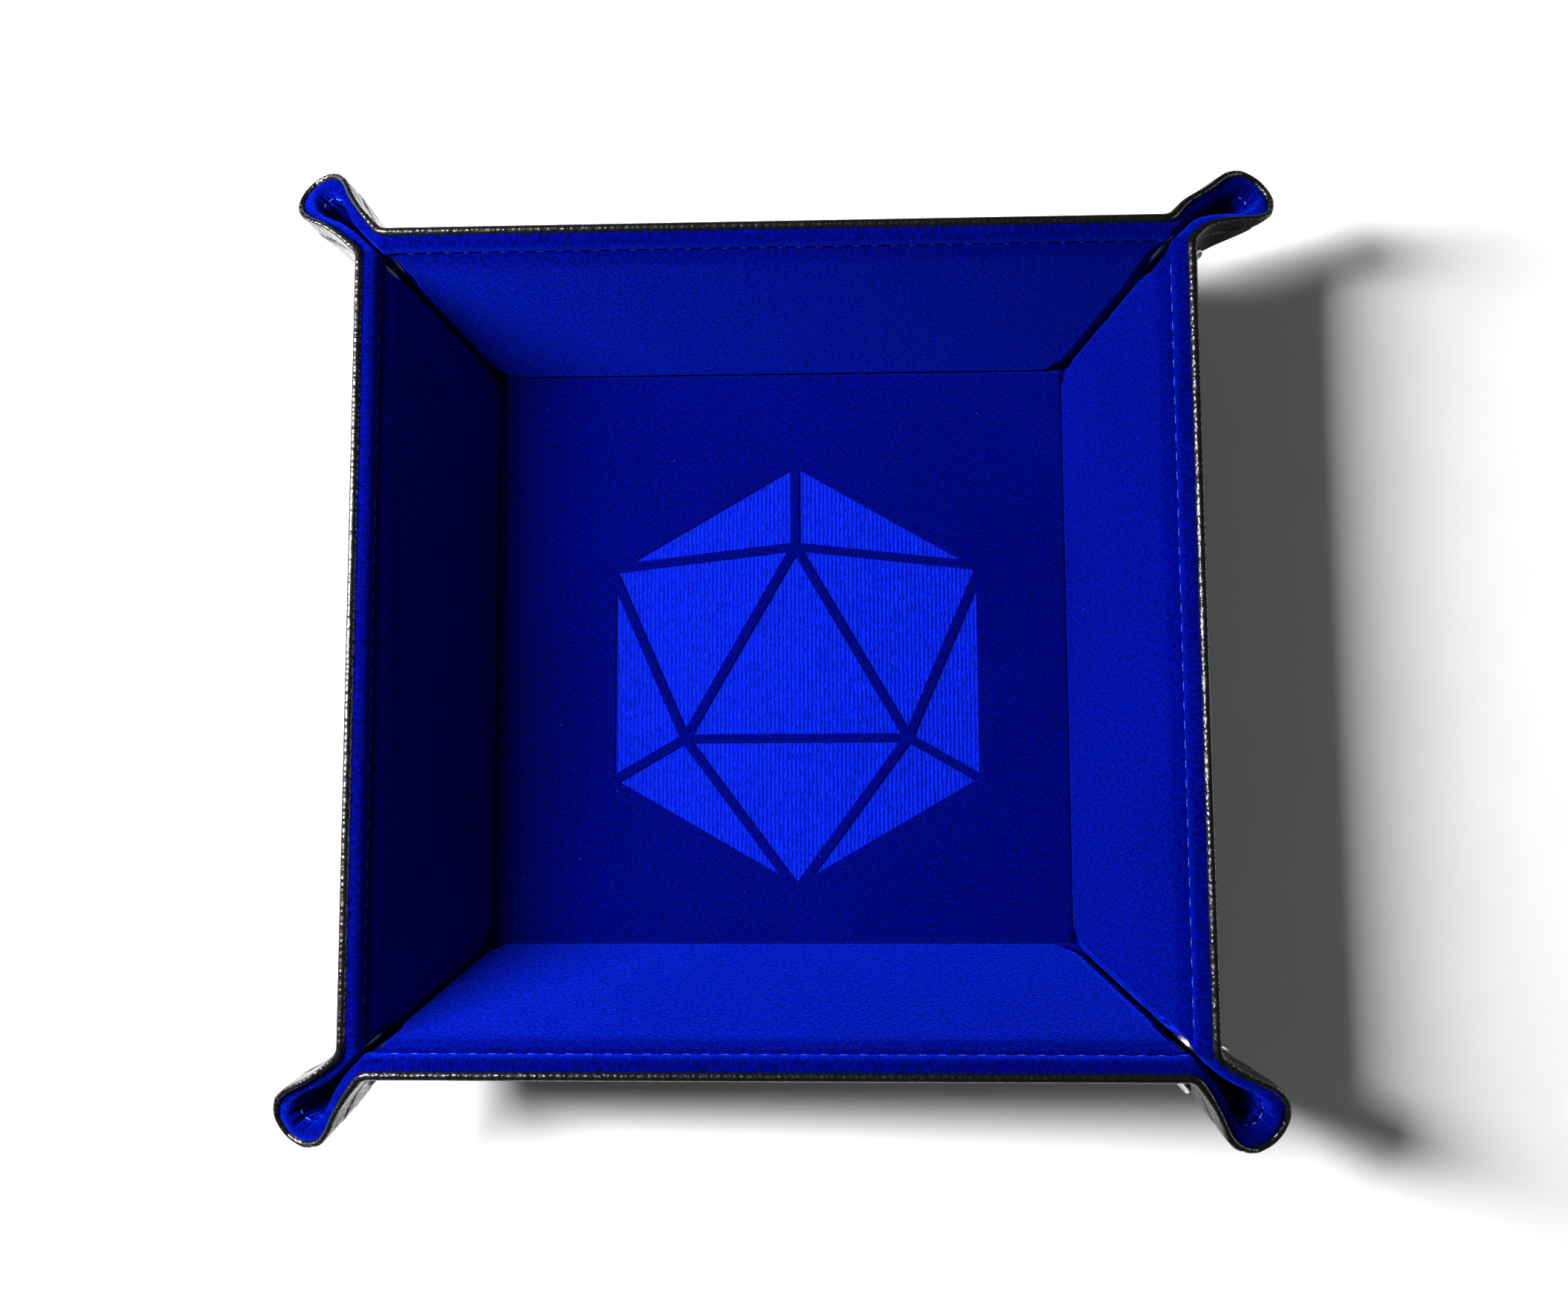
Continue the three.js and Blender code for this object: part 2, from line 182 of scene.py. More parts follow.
def fold(x, y, height, turn=0, meet=True, shoulder=None):
    """Folds points of the flat sheet to where they are at rest, in metres. With meet, no point of
    one half of an ear crosses the diagonal plane, and the points of its ridge lie on it."""
    x, y, height = (np.asarray(v, float) for v in np.broadcast_arrays(x, y, height))
    side = np.where(y < 0, -1.0, 1.0)
    p = np.stack([x, np.abs(y), height], axis=-1).reshape(-1, 3)
    ridge = (p[:, 0] - p[:, 1]) < 1e-6
    corner = np.where(side > 0, turn, (turn + 3) % 4).reshape(-1)
    p = close_ear(p, np.array(LOOP_RADIUS)[corner])
    bend_start = CREASE_FOOT - ACROSS_CREASE * WING_BEND_LENGTH / 2
    p = bend(p, bend_start, ACROSS_CREASE, -UP, WING_BEND_RADIUS, WING_FOLD, shoulder)
    p = bend(p, X_AXIS * FLOOR_EDGE, X_AXIS, UP, FLOOR_BEND_RADIUS, FLOOR_FOLD)
    if meet:
        gap = (p[:, 0] - p[:, 1]) / 2
        shift = np.where((gap < 0) | ridge, gap, 0)
        p[:, 0] -= shift
        p[:, 1] += shift
    sideways = lean_of(p) * (corner == LEANING_CORNER) * side.reshape(-1)
    p[:, 0] += sideways * math.sqrt(0.5)
    p[:, 1] -= sideways * math.sqrt(0.5)
    p[:, 1] *= side.reshape(-1)
    c, s = math.cos(turn * math.pi / 2), math.sin(turn * math.pi / 2)
    quarter = np.array([[c, -s, 0], [s, c, 0], [0, 0, 1]])
    return (p @ quarter.T * MM).reshape(*x.shape, 3)


def smooth(low, high, value):
    t = np.clip((value - low) / (high - low), 0, 1)
    return t * t * (3 - 2 * t)


def quarter_round(value):
    """0 at 0, 1 at 1, as a quarter of a circle rises."""
    return np.sqrt(1 - (1 - np.clip(value, 0, 1)) ** 2)


def rounded_inside(a, b, radius):
    """The distance inside the corner of two edges, with the corner rounded."""
    in_corner = np.maximum(radius - a, 0) ** 2 + np.maximum(radius - b, 0) ** 2
    return np.where((a < radius) & (b < radius), radius - np.sqrt(in_corner), np.minimum(a, b))


# ---------------------------------------------------------------- places on the flat sheet

def edge_distance(x, y):
    """From the sheet's edge, on the half of a sector where |y| is at most x."""
    corner = RIM - CORNER_RADIUS
    y = np.abs(y)
    from_corner = CORNER_RADIUS - np.hypot(np.maximum(x - corner, 0), np.maximum(y - corner, 0))
    return np.where(y > corner, from_corner, RIM - x)


def crease_place(x, y):
    """Distances along and past the crease of the wing."""
    rel_x, rel_y = x - CREASE_FOOT[0], np.abs(y) - CREASE_FOOT[1]
    along = rel_x * ALONG_CREASE[0] + rel_y * ALONG_CREASE[1]
    past = rel_x * ACROSS_CREASE[0] + rel_y * ACROSS_CREASE[1]
    return along, past


def ridge_distance(x, y):
    return (x - np.abs(y)) * math.sqrt(0.5)


def crumple(x, y, turn, size):
    """Soft wrinkles of the ears, different at each corner."""
    along, _ = crease_place(x, y)
    where = smooth(14, 34, along) * (1 - smooth(9, 18, ridge_distance(x, y)))
    phase = turn * 1.7 + (y < 0) * 0.9
    down, round_loop = x + np.abs(y), x - np.abs(y)
    waves = np.sin(round_loop * 0.85 + 0.06 * down + phase) * np.sin(down * 0.21 + phase)
    return size * where * (waves + 0.5 * np.sin(round_loop * 1.9 + down * 0.33 + 2.3 * phase))


def velvet_height(x, y, turn=0):
    edge = edge_distance(x, y)
    along, past = crease_place(x, y)
    from_snap = np.abs(along - SNAP_OPENING)
    beside_snap = smooth(3.8, 6.0, from_snap)
    near_rim = (1 - smooth(5.2, 8.5, edge)) * smooth(4.6, 6.4, from_snap)
    foot, above_foot = smooth(0, 2, x - WALL_FOOT), smooth(0, 6, x - WALL_FOOT)
    lip = CREASE_HEIGHT + above_foot * (LIP_HEIGHT - CREASE_HEIGHT) * beside_snap
    inside = rounded_inside(-past - PANEL_TO_CREASE, (x - WALL_FOOT - PANEL_TO_FOOT) * 0.5, 2.5)
    panel = quarter_round(inside / 0.8)
    wall = CREASE_HEIGHT + foot * (PANEL_HEIGHT - CREASE_HEIGHT) * panel
    wall = wall + (lip + (PANEL_HEIGHT - lip) * panel - wall) * above_foot
    wall = wall + (BAND_HEIGHT - wall) * (1 - smooth(5.2, 8.5, edge))
    wing = CREASE_HEIGHT + (lip - CREASE_HEIGHT) * (1 - smooth(3.5, 7.5, past))
    wing = wing + (NECK - 0.35 - wing) * near_rim
    height = wall + (wing - wall) * smooth(-0.6, 1.6, past)
    height = height - 0.5 * np.exp(-((edge - STITCH_INSET) / 0.4) ** 2)
    rolled = 1.6 + (height - 1.6) * quarter_round((edge - VELVET_START) / 1.8)
    height = np.where(edge < VELVET_START + 1.8, rolled, height)
    return height + crumple(x, y, turn, 0.3) * smooth(1, 4, edge)


def leather_heights(x, y, turn=0):
    """The outer face, with the roll at the sheet's edge, and the hidden inner face."""
    edge = edge_distance(x, y)
    radius = EDGE_ROLL + (EAR_EDGE_ROLL - EDGE_ROLL) * smooth(0, 8, crease_place(x, y)[1])
    roll = radius * quarter_round(edge / radius)
    stitch_line = 0.35 * np.exp(-((edge - STITCH_INSET) / 0.5) ** 2)
    outer = radius - roll + stitch_line
    inner = radius + roll + (LEATHER - 2 * radius) * smooth(1.5, 2.6, edge)
    wrinkle = crumple(x, y, turn, 0.1)
    return outer + wrinkle, inner + wrinkle


# ---------------------------------------------------------------- grids of the flat sheet

EDGE_LEVELS = np.array([0, 0.12, 0.35, 0.7, 1.1, 1.5, 1.75, 2.1, 2.6, 3.1, 3.8, 4.3, 4.6, 4.85, 5.1,
                        5.4, 5.8, 6.3, 6.9, 7.6, 8.5])
FOOT_LEVEL = RIM - WALL_FOOT
FLOOR_LEVEL = RIM - FLOOR_EDGE
END_WIDTH = 12.0                 # of the end of a wall that is made together with its wing

# Places up the ridge from the floor's corner, and how far from the ridge an ear's tip starts to
# follow its curl there. Each place gets a piece of its own.
TIP_BENDS = ((5, 3.3), (12, 4.9), (20, 6.7), (32, 8.5), (42, 8.5), (50, 8.5), (57, 8.5))
TIP_WIDTH = 10.5
TIP_MARGIN = 0.1                 # between the start of a bend and the edge of its piece

WING_COLUMNS, TIP_COLUMNS = 14, 20
WALL_COLUMNS = 61
TO_CREASE = np.array([12, 9.5, 7.5, 6, 4.8, 3.8, 3, 2.4, 1.9, 1.5, 1.2, 0.95, 0.75, 0.6, 0.45, 0.3, 0.15])
FROM_CREASE = np.array([0, 0.15, 0.3, 0.5, 0.75, 1.05, 1.4, 1.9])
FIRST_TIP_COLUMN = len(TO_CREASE) + len(FROM_CREASE) + WING_COLUMNS - 1


def levels(start):
    inner = np.linspace(EDGE_LEVELS[-1], FOOT_LEVEL - 3, 26)[1:]
    foot = np.linspace(FOOT_LEVEL - 3, FOOT_LEVEL, 10)[1:]
    every = np.concatenate([EDGE_LEVELS, inner, foot])
    return every[every >= start - 1e-9]


def row_points(edge, distances):
    """Places along the line at that distance from the sheet's edge, from the middle of its side."""
    corner = RIM - CORNER_RADIUS
    radius = max(CORNER_RADIUS - edge, 0)
    x_line = RIM - edge
    straight = min(corner, x_line)
    angle = np.clip((distances - straight) / max(radius, 1e-9), 0, math.pi / 4)
    on_arc = distances > straight
    x = np.where(on_arc, straight + radius * np.cos(angle), x_line)
    y = np.where(on_arc, straight + radius * np.sin(angle), distances)
    return x, y


def row_length(edge):
    return min(RIM - CORNER_RADIUS, RIM - edge) + max(CORNER_RADIUS - edge, 0) * math.pi / 4


def tip_length(edge):
    """How far along a row the ear's tip reaches from the ridge."""
    radius = max(CORNER_RADIUS - edge, 1e-6)
    on_arc = min(TIP_WIDTH, radius * math.sqrt(0.5))
    return radius * math.asin(on_arc / radius) + (TIP_WIDTH - on_arc) * math.sqrt(2)


def wing_share(edge):
    """The most of a wing's row that its tip may take."""
    return 0.8 * (row_length(edge) - crease_y(RIM - edge))


def tip_group(edge):
    """The nearest of TIP_BENDS that a row has the room for."""
    room = min(wing_share(edge) * math.sqrt(0.5), TIP_WIDTH) - TIP_MARGIN
    x, y = row_points(edge, np.array([row_length(edge)]))
    up_ridge = math.hypot(x[0], y[0]) - FLOOR_CORNER
    fitting = [k for k, (_, start) in enumerate(TIP_BENDS) if k == 0 or start <= room]
    return min(fitting, key=lambda k: abs(TIP_BENDS[k][0] - up_ridge))


def end_rows(edge_levels, side):
    """The end of a wall, its wing and its tip: each row goes from the wall to the ridge."""
    rows_x, rows_y = [], []
    for edge in edge_levels:
        crease, ridge = crease_y(RIM - edge), row_length(edge)
        tip = min(tip_length(edge), wing_share(edge))
        wing = np.linspace(crease + FROM_CREASE[-1], ridge - tip, WING_COLUMNS + 1)[1:]
        ear = np.linspace(ridge - tip, ridge, TIP_COLUMNS + 1)[1:]
        x, y = row_points(edge, np.concatenate([crease - TO_CREASE, crease + FROM_CREASE, wing, ear]))
        y[-1] = x[-1]
        rows_x.append(x)
        rows_y.append(side * y)
    return np.array(rows_x), np.array(rows_y)


def middle_rows(edge_levels):
    """The middle of a wall, between its two ends."""
    half = np.array([crease_y(RIM - edge) - END_WIDTH for edge in edge_levels])
    share = np.linspace(-1, 1, WALL_COLUMNS)
    x = np.repeat((RIM - edge_levels)[:, None], share.size, axis=1)
    return x, np.outer(half, share)


# ---------------------------------------------------------------- meshes

def new_object(name, points, faces, material, uv=None):
    mesh = bpy.data.meshes.new(name)
    mesh.from_pydata([tuple(p) for p in points], [], faces)
    bm = bmesh.new()
    bm.from_mesh(mesh)
    if uv is not None:
        layer = bm.loops.layers.uv.new("Flat")
        for face in bm.faces:
            for loop in face.loops:
                loop[layer].uv = uv[loop.vert.index]
    bmesh.ops.remove_doubles(bm, verts=bm.verts, dist=1e-7)
    bmesh.ops.recalc_face_normals(bm, faces=bm.faces)
    bm.to_mesh(mesh)
    bm.free()
    mesh.shade_smooth()
    mesh.set_sharp_from_angle(angle=math.radians(55))
    mesh.materials.append(material)
    piece = bpy.data.objects.new(name, mesh)
    bpy.context.scene.collection.objects.link(piece)
    return piece


def turned_uv(x, y, turn):
    c, s = math.cos(turn * math.pi / 2), math.sin(turn * math.pi / 2)
    return np.stack([(x * c - y * s) * MM, (x * s + y * c) * MM], axis=-1).reshape(-1, 2)


def sheet_solid(name, x, y, low, high, turn, cells, material, shoulder=None):
    """A closed solid between two heights of the folded sheet, over the chosen cells of a grid."""
    rows, cols = x.shape
    faces_at = [fold(x, y, height, turn, shoulder=shoulder).reshape(-1, 3) for height in (low, high)]
    points = np.concatenate(faces_at)
    uv = np.tile(turned_uv(x, y, turn), (2, 1))
    top = rows * cols
    faces = []

    def wall(a, b):
        faces.append((a, b, b + top, a + top))

    for i, j in zip(*np.nonzero(cells)):
        a, b = i * cols + j, i * cols + j + 1
        c, d = b + cols, a + cols
        faces.append((a, b, c, d))
        faces.append((d + top, c + top, b + top, a + top))
        if i == 0 or not cells[i - 1, j]:
            wall(b, a)
        if i == rows - 2 or not cells[i + 1, j]:
            wall(d, c)
        if j == 0 or not cells[i, j - 1]:
            wall(a, d)
        if j == cols - 2 or not cells[i, j + 1]:
            wall(c, b)
    used = sorted({v for face in faces for v in face})
    renumber = {old: new for new, old in enumerate(used)}
    faces = [tuple(renumber[v] for v in face) for face in faces]
    return new_object(name, points[used], faces, material, uv[used])


def revolve(profile, segments=48):
    """Flat places and heights of a turned shape, and its faces. A point at radius 0 is one vertex."""
    points, rings = [], []
    for radius, height in profile:
        count = 1 if radius == 0 else segments
        ring = []
        for k in range(count):
            a = 2 * math.pi * k / segments
            ring.append(len(points))
            points.append((radius * math.cos(a), radius * math.sin(a), height))
        rings.append(ring)
    faces = []
    for low, high in zip(rings, rings[1:]):
        for k in range(segments):
            quad = (low[k % len(low)], low[(k + 1) % len(low)], high[(k + 1) % len(high)], high[k % len(high)])
            face = tuple(dict.fromkeys(quad))
            if len(face) > 2:
                faces.append(face)
    return np.array(points), faces


# ---------------------------------------------------------------- materials

SHEEN_TINT = (0.004, 0.03, 1, 1)  # of the blue pile


class Nodes:
    """A material's node tree, with short calls to add nodes and join them."""

    def __init__(self, name):
        self.material = bpy.data.materials.new(name)
        self.material.use_nodes = True
        self.tree = self.material.node_tree
        self.shader = self.tree.nodes["Principled BSDF"]

    def add(self, kind, inputs=None, **settings):
        node = self.tree.nodes.new(kind)
        for key, value in settings.items():
            setattr(node, key, value)
        for key, value in (inputs or {}).items():
            if isinstance(value, bpy.types.NodeSocket):
                self.tree.links.new(value, node.inputs[key])
            else:
                node.inputs[key].default_value = value
        return node

    def set(self, **values):
        for key, value in values.items():
            self.shader.inputs[key.replace("_", " ")].default_value = value

    def join(self, output, key):
        self.tree.links.new(output, self.shader.inputs[key])

    def flat_place(self, scale=(1, 1, 1), turn=0.0):
        uv = self.add("ShaderNodeUVMap", uv_map="Flat")
        mapping = self.add("ShaderNodeMapping", {"Vector": uv.outputs["UV"], "Scale": scale})
        mapping.inputs["Rotation"].default_value = (0, 0, turn)
        return mapping.outputs["Vector"]

    def solid_place(self):
        return self.add("ShaderNodeTexCoord").outputs["Object"]

    def noise(self, place, scale, detail=3.0, roughness=0.6):
        node = self.add("ShaderNodeTexNoise", {"Vector": place, "Scale": scale, "Detail": detail})
        node.inputs["Roughness"].default_value = roughness
        return node.outputs["Fac"]

    def ramp(self, value, *stops):
        node = self.add("ShaderNodeValToRGB", {"Fac": value})
        elements = node.color_ramp.elements
        while len(elements) < len(stops):
            elements.new(0.5)
        for element, (position, colour) in zip(elements, stops):
            element.position = position
            element.color = (*colour, 1) if len(colour) == 3 else colour
        return node.outputs["Color"]

    def mix(self, factor, a, b, blend="MIX"):
        node = self.add("ShaderNodeMix", data_type="RGBA", blend_type=blend)
        for index, value in ((0, factor), (6, a), (7, b)):
            if isinstance(value, bpy.types.NodeSocket):
                self.tree.links.new(value, node.inputs[index])
            else:
                node.inputs[index].default_value = value if index == 0 else (*value, 1)
        return node.outputs[2]

    def maths(self, operation, a, b=0.0, clamp=False):
        node = self.add("ShaderNodeMath", operation=operation, use_clamp=clamp)
        for index, value in ((0, a), (1, b)):
            if isinstance(value, bpy.types.NodeSocket):
                self.tree.links.new(value, node.inputs[index])
            else:
                node.inputs[index].default_value = value
        return node.outputs["Value"]

    def bump(self, height, strength, distance, below=None):
        node = self.add("ShaderNodeBump", {"Height": height, "Strength": strength, "Distance": distance})
        if below is not None:
            self.tree.links.new(below, node.inputs["Normal"])
        return node.outputs["Normal"]


def velvet_material(name, deep, lit):
    """Short pile: fine grains that lean here and there, brushed patches, and a few specks of lint."""
    n = Nodes(name)
    patches = n.noise(n.flat_place(), 14, 4, 0.55)
    grain = n.noise(n.flat_place((1, 0.5, 1), 0.5), 2100, 3, 0.75)
    cross_grain = n.noise(n.flat_place((0.5, 1, 1), -0.4), 1700, 3, 0.75)
    pile = n.maths("MULTIPLY", grain, cross_grain)
    pile_tone = n.ramp(pile, (0.15, (0, 0, 0)), (0.38, (1, 1, 1)))
    base = n.mix(pile_tone, deep, lit)
    brushed = n.ramp(patches, (0.3, (0.75, 0.75, 0.75)), (0.7, (1.2, 1.2, 1.2)))
    base = n.mix(1.0, base, brushed, "MULTIPLY")
    spots = n.add("ShaderNodeTexVoronoi", {"Vector": n.flat_place((1, 0.6, 1), 0.8), "Scale": 150.0})
    lint = n.ramp(spots.outputs["Distance"], (0.012, (1, 1, 1)), (0.028, (0, 0, 0)))
    base = n.mix(n.maths("MULTIPLY", lint, 0.5), base, (0.02, 0.06, 0.5))
    n.join(base, "Base Color")
    n.join(n.ramp(pile, (0.17, (0.5, 0.5, 0.5)), (0.34, (1, 1, 1))), "Sheen Weight")
    n.set(Roughness=1.0, Specular_IOR_Level=0.0, Sheen_Roughness=0.5)
    n.set(Sheen_Tint=SHEEN_TINT)
    n.join(n.bump(n.maths("ADD", pile, n.maths("MULTIPLY", patches, 0.3)), 1.0, 0.0006), "Normal")
    return n.material


def burnt_velvet_material():
    """Where the pile is pressed down: lighter, with the fine upright ribs of the ground weave."""
    n = Nodes("burnt_velvet")
    ribs = n.add("ShaderNodeTexWave", {"Vector": n.solid_place(), "Scale": 300.0, "Distortion": 3.0},
                 wave_type="BANDS", bands_direction="X")
    ribs.inputs["Detail"].default_value = 2.0
    ribs.inputs["Detail Scale"].default_value = 3.0
    knots = n.noise(n.solid_place(), 900, 3, 0.7)
    base = n.mix(ribs.outputs["Fac"], (0.001, 0.006, 0.27), (0.0013, 0.009, 0.38))
    tone = n.ramp(knots, (0.3, (0.6, 0.6, 0.6)), (0.7, (1.3, 1.3, 1.3)))
    n.join(n.mix(1.0, base, tone, "MULTIPLY"), "Base Color")
    n.set(Roughness=1.0, Specular_IOR_Level=0.0, Sheen_Weight=0.5, Sheen_Roughness=0.3)
    n.set(Sheen_Tint=SHEEN_TINT)
    height = n.maths("ADD", ribs.outputs["Fac"], n.maths("MULTIPLY", knots, 0.6))
    n.join(n.bump(height, 0.6, 0.0003), "Normal")
    return n.material


def leather_material():
    """Black imitation leather with a pebble grain, its crowns shinier than its valleys, and its valleys painted
    darker as shade.
    """
    n = Nodes("pebbled_leather")
    place = n.flat_place()
    warp = n.noise(place, 420, 2, 0.5)
    shifted = n.add("ShaderNodeVectorMath", {0: place}, operation="ADD")
    n.tree.links.new(n.maths("MULTIPLY", warp, 0.0009), shifted.inputs[1])
    pebbles = n.add("ShaderNodeTexVoronoi", {"Vector": shifted.outputs["Vector"], "Scale": 880.0},
                    feature="SMOOTH_F1")
    pebbles.inputs["Smoothness"].default_value = 0.35
    crown = n.maths("SUBTRACT", 1.0, pebbles.outputs["Distance"])
    fine = n.noise(place, 2600, 3, 0.6)
    # The base colour is darker in the valleys between the pebbles and lighter on their crowns: painted shade in
    # the grain's hollows.
    tone = n.ramp(crown, (0.35, (0.001, 0.001, 0.0012)), (0.9, (0.004, 0.004, 0.005)))
    n.join(tone, "Base Color")
    shine = n.ramp(crown, (0.4, (0.32, 0.32, 0.32)), (0.9, (0.17, 0.17, 0.17)))
    n.join(n.maths("ADD", shine, n.maths("MULTIPLY", fine, 0.06)), "Roughness")
    n.set(Specular_IOR_Level=0.36)
    height = n.maths("ADD", crown, n.maths("MULTIPLY", fine, 0.05))
    n.join(n.bump(height, 0.5, 0.0004), "Normal")
    return n.material


def metal_material():
    """Polished nickel with faint rubbing marks."""
    n = Nodes("polished_nickel")
    rub = n.noise(n.solid_place(), 900, 4, 0.7)
    broad = n.noise(n.solid_place(), 120, 2, 0.5)
    n.join(n.ramp(broad, (0.3, (0.52, 0.52, 0.54)), (0.7, (0.72, 0.72, 0.73))), "Base Color")
    n.join(n.ramp(rub, (0.3, (0.18, 0.18, 0.18)), (0.75, (0.36, 0.36, 0.36))), "Roughness")
    n.set(Metallic=1.0)
    n.join(n.bump(rub, 0.12, 0.0001), "Normal")
    return n.material


def thread_material(name, colour, bright):
    """Twisted thread: two plies wound round each other."""
    n = Nodes(name)
    twist = n.add("ShaderNodeTexWave", {"Vector": n.flat_place(turn=0.785), "Scale": 420.0})
    n.join(n.mix(twist.outputs["Fac"], colour, bright), "Base Color")
    n.set(Roughness=0.7, Specular_IOR_Level=0.1, Sheen_Weight=0.2)
    n.set(Sheen_Tint=(*bright, 1))
    n.join(n.bump(twist.outputs["Fac"], 0.5, 0.0002), "Normal")
    return n.material


def board_material():
    n = Nodes("grey_board")
    pulp = n.noise(n.solid_place(), 500, 5, 0.7)
    n.join(n.ramp(pulp, (0.3, (0.2, 0.18, 0.15)), (0.7, (0.34, 0.31, 0.26))), "Base Color")
    n.set(Roughness=0.95)
    n.join(n.bump(pulp, 0.3, 0.0002), "Normal")
    return n.material


def table_material():
    n = Nodes("pale_table")
    grain = n.noise(n.solid_place(), 30, 4, 0.6)
    n.join(n.ramp(grain, (0.3, (0.80, 0.80, 0.80)), (0.7, (0.84, 0.84, 0.84))), "Base Color")
    n.set(Roughness=0.55, Specular_IOR_Level=0.3)
    return n.material


velvet = velvet_material("royal_velvet", (0.0001, 0.0003, 0.022), (0.0002, 0.0008, 0.125))
burnt_velvet = burnt_velvet_material()
leather = leather_material()
metal = metal_material()
blue_thread = thread_material("blue_thread", (0.014, 0.04, 0.3), (0.045, 0.1, 0.5))
black_thread = thread_material("black_thread", (0.008, 0.008, 0.009), (0.03, 0.03, 0.034))
board = board_material()


# ---------------------------------------------------------------- camera, light and table

def make_camera():
    data = bpy.data.cameras.new("camera")
    data.lens, data.sensor_width = 30.7, 36
    data.clip_start = 0.01
    camera = bpy.data.objects.new("camera", data)
    camera.location = (0.0124, -0.0268, 0.3409)
    camera.rotation_euler = [math.radians(a) for a in (4.93, 1.94, -0.25)]
    bpy.context.scene.collection.objects.link(camera)
    bpy.context.scene.camera = camera


LIT_PLACE = (0.02, 0, 0)          # what the lights point at


def make_panel_light(name, place, width, height, watts, colour=(1, 1, 1)):
    data = bpy.data.lights.new(name, "AREA")
    data.shape, data.size, data.size_y, data.energy = "RECTANGLE", width, height, watts
    data.color = colour
    panel = bpy.data.objects.new(name, data)
    panel.location = place
    panel.rotation_euler = (Vector(LIT_PLACE) - panel.location).to_track_quat("-Z", "Y").to_euler()
    bpy.context.scene.collection.objects.link(panel)


def make_light():
    """A window to the left and a little behind, the far wall that it lights, and a dim grey room."""
    make_panel_light("window", (-0.36, 0.068, 0.343), 0.10, 0.255, 11)
    make_panel_light("far_wall", (1.2, -0.05, 0.17), 0.5, 0.2, 2.9, (1, 0.98, 0.94))
    world = bpy.data.worlds.new("room")
    bpy.context.scene.world = world
    world.use_nodes = True
    world.node_tree.nodes["Background"].inputs["Color"].default_value = (0.9, 0.96, 1, 1)
    world.node_tree.nodes["Background"].inputs["Strength"].default_value = 0.065


def make_table():
    half, height = 2.0, -0.0002
    corners = [(x * half, y * half, height) for x, y in ((-1, -1), (1, -1), (1, 1), (-1, 1))]
    mesh = bpy.data.meshes.new("table")
    mesh.from_pydata(corners, [], [(0, 1, 2, 3)])
    mesh.materials.append(table_material())
    table = bpy.data.objects.new("table", mesh)
    bpy.context.scene.collection.objects.link(table)


make_camera()
make_light()
make_table()
bpy.context.scene.view_settings.view_transform = "Standard"


# ---------------------------------------------------------------- floor of the tray

def rounded_square(half, radius, per_corner=6):
    points = []
    for k in range(4):
        for step in range(per_corner + 1):
            a = (k + step / per_corner) * math.pi / 2
            cx, cy = ((1, 1), (-1, 1), (-1, -1), (1, -1))[k]
            centre = (half - radius) * cx, (half - radius) * cy
            points.append((centre[0] + radius * math.cos(a), centre[1] + radius * math.sin(a)))
    return points


def slab(name, outline_at, material):
    """A closed solid through outlines of equal count, from the lowest up."""
    points, faces = [], []
    count = len(outline_at[0][0])
    for outline, height in outline_at:
        points += [(x * MM, y * MM, height * MM) for x, y in outline]
    for ring in range(len(outline_at) - 1):
        for k in range(count):
            a, b = ring * count + k, ring * count + (k + 1) % count
            faces.append((a, b, b + count, a + count))
    faces.append(tuple(range(count))[::-1])
    faces.append(tuple(range((len(outline_at) - 1) * count, len(outline_at) * count)))
    uv = [(x, y) for x, y, _ in points]
    return new_object(name, points, faces, material, uv)


EMBLEM_RADIUS = 54.0
EMBLEM_CENTRE = (4.0, -5.0)
EMBLEM_LINE = 1.1
EMBLEM_DEPTH = 0.45


def die_facets():
    """The ten faces seen of a plain twenty-sided die, each drawn in from its edges."""
    outer = [90 + 60 * k for k in range(6)]
    polar = lambda r, a: Vector((r * math.cos(math.radians(a)), r * math.sin(math.radians(a))))
    rim = [polar(EMBLEM_RADIUS, a) for a in outer]
    face = [polar(EMBLEM_RADIUS * 0.6, a) for a in (90, 210, 330)]
    triangles = [tuple(face)]
    for k in range(3):
        near, left, right = face[k], rim[2 * k - 1], rim[2 * k + 1]
        triangles += [(near, rim[2 * k], left), (near, rim[2 * k], right)]
        triangles.append((near, face[(k + 1) % 3], right))
    shrunk = []
    for triangle in triangles:
        sides = [(triangle[(k + 1) % 3] - triangle[(k + 2) % 3]).length for k in range(3)]
        centre = sum((p * s for p, s in zip(triangle, sides)), Vector((0, 0))) / sum(sides)
        a, b, c = triangle
        area = abs((b - a).cross(c - a)) / 2
        inradius = 2 * area / sum(sides)
        shrunk.append([centre + (p - centre) * (1 - EMBLEM_LINE / inradius) for p in triangle])
    return shrunk


def make_floor():
    outline = lambda inset, radius: rounded_square(FLOOR_EDGE - inset, radius)
    skin = slab("floor_leather", [
        (outline(0.15, 2), 0.1), (outline(0.0, 2), 0.3), (outline(0.0, 2), LEATHER),
    ], leather)
    lining = slab("floor_velvet", [
        (outline(0.3, 3), 1.15), (outline(0.3, 3), 3.2), (outline(0.45, 3), 3.75),
        (outline(0.8, 3), 4.1), (outline(1.3, 3), 4.25), (outline(2.0, 3), PANEL_HEIGHT),
    ], velvet)
    cut_emblem(lining)
    for piece, node, slot in ((skin, "base_leather", "leather"), (lining, "base_lining", "velvet")):
        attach(piece, "base")
        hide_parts(node)


